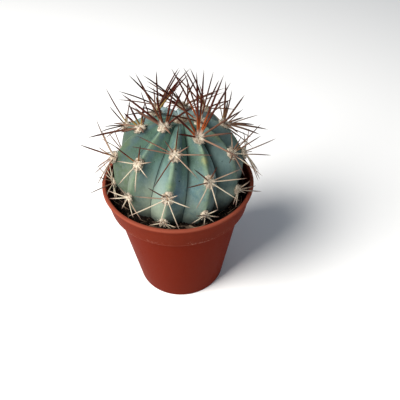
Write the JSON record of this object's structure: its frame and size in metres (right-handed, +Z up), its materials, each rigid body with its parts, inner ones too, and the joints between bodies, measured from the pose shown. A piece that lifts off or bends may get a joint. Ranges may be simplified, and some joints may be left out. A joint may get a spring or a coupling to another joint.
{
  "type": "potted cactus",
  "caption": "Small ribbed globular cactus with spine clusters along its ribs, growing in soil in a round tapered plastic nursery pot.",
  "frame": {"origin": "middle of the pot's foot, on the face that it stands on", "axes": "+Z up along the pot's axis, -Y towards the side seen in the picture, +X to its right"},
  "size_m": [0.0664, 0.0595, 0.0912],
  "materials": {
    "pot": "thin terracotta-red nursery plastic, slightly glossy",
    "soil": "dark moist potting soil with a few fibres",
    "stem": "waxy blue-green skin, paler on the ribs",
    "spines_dark": "dark red-brown spines on cream wool",
    "spines_pale": "ivory spines on cream wool"
  },
  "bodies": {
    "root": {"apex_wool": "spines_dark", "areole_rib01_1": "spines_dark", "areole_rib01_2": "spines_pale", "areole_rib01_3": "spines_pale", "areole_rib02_1": "spines_dark", "areole_rib02_2": "spines_pale", "areole_rib02_3": "spines_pale", "areole_rib03_1": "spines_dark", "areole_rib03_2": "spines_pale", "areole_rib03_3": "spines_pale", "areole_rib04_1": "spines_dark", "areole_rib04_2": "spines_pale", "areole_rib05_1": "spines_dark", "areole_rib05_2": "spines_pale", "areole_rib05_3": "spines_pale", "areole_rib06_1": "spines_dark", "areole_rib06_2": "spines_pale", "areole_rib06_3": "spines_pale", "areole_rib07_1": "spines_dark", "areole_rib07_2": "spines_pale", "areole_rib07_3": "spines_pale", "areole_rib08_1": "spines_dark", "areole_rib08_2": "spines_pale", "areole_rib08_3": "spines_pale", "areole_rib09_1": "spines_dark", "areole_rib09_2": "spines_pale", "areole_rib09_3": "spines_pale", "areole_rib10_1": "spines_dark", "areole_rib10_2": "spines_pale", "areole_rib10_3": "spines_pale", "pot": "pot", "soil": "soil", "stem": "stem"}
  },
  "joints": []
}
